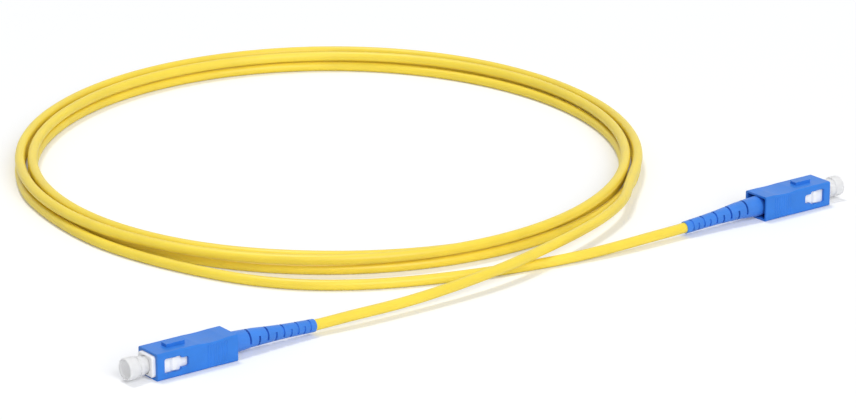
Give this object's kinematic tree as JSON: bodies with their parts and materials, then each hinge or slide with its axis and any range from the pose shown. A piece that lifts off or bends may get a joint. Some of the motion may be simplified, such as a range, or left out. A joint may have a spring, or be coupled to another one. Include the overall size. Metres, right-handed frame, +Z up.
{
  "type": "fiber optic patch cord",
  "caption": "Simplex fibre patch cord: a slim yellow jacketed cord, loosely coiled, with a blue push-pull plug, flexible boot and dust cap on each end.",
  "frame": {"origin": "floor level, at the middle of the box round the two plugs with their boots and caps", "axes": "+Z up; X along both plugs: plug A's ferrule points to -X and plug B's to +X; the coil lies on the +Y side"},
  "size_m": [0.2504, 0.2268, 0.0083],
  "materials": {
    "jacket": "satin",
    "grip_shell": "satin",
    "boot_rubber": "satin",
    "frame_plastic": "satin",
    "zirconia": "polished",
    "nickel": "nickel plated",
    "spring_steel": "drawn wire",
    "crimp_metal": "drawn",
    "yarn": "matte",
    "buffer_plastic": "matte",
    "guide_plastic": "waxy",
    "silica": "clear",
    "cap_plastic": "translucent"
  },
  "bodies": {
    "cord": {"lead_a": "jacket", "coil": "jacket", "lead_b": "jacket", "plug_frame_a": "frame_plastic", "spring_a": "spring_steel", "stop_ring_a": "nickel", "crimp_sleeve_a": "crimp_metal", "aramid_a": "yarn", "boot_a": "boot_rubber", "jacket_end_a": "jacket", "plug_frame_b": "frame_plastic", "spring_b": "spring_steel", "stop_ring_b": "nickel", "crimp_sleeve_b": "crimp_metal", "aramid_b": "yarn", "boot_b": "boot_rubber", "jacket_end_b": "jacket"},
    "grip_a": {"grip_a": "grip_shell"},
    "ferrule_a": {"ferrule_a": "zirconia", "ferrule_flange_a": "nickel", "fibre_a": "silica", "guide_tube_a": "guide_plastic", "buffer_a": "buffer_plastic"},
    "dust_cap_a": {"dust_cap_a": "cap_plastic"},
    "grip_b": {"grip_b": "grip_shell"},
    "ferrule_b": {"ferrule_b": "zirconia", "ferrule_flange_b": "nickel", "fibre_b": "silica", "guide_tube_b": "guide_plastic", "buffer_b": "buffer_plastic"},
    "dust_cap_b": {"dust_cap_b": "cap_plastic"}
  },
  "joints": [
    {"name": "grip_a_pull", "type": "slide", "parent": "cord", "child": "grip_a", "axis": [1, 0, 0], "range_m": [0, 0.002]},
    {"name": "ferrule_a_float", "type": "slide", "parent": "cord", "child": "ferrule_a", "axis": [1, 0, 0], "range_m": [0, 0.001], "stiffness_N_per_m": 1000, "deforming": ["spring_a"]},
    {"name": "dust_cap_a_off", "type": "slide", "parent": "ferrule_a", "child": "dust_cap_a", "axis": [-1, 0, 0], "range_m": [0, 0.012]},
    {"name": "grip_b_pull", "type": "slide", "parent": "cord", "child": "grip_b", "axis": [-1, 0, 0], "range_m": [0, 0.002]},
    {"name": "ferrule_b_float", "type": "slide", "parent": "cord", "child": "ferrule_b", "axis": [-1, 0, 0], "range_m": [0, 0.001], "stiffness_N_per_m": 1000, "deforming": ["spring_b"]},
    {"name": "dust_cap_b_off", "type": "slide", "parent": "ferrule_b", "child": "dust_cap_b", "axis": [1, 0, 0], "range_m": [0, 0.012]}
  ]
}
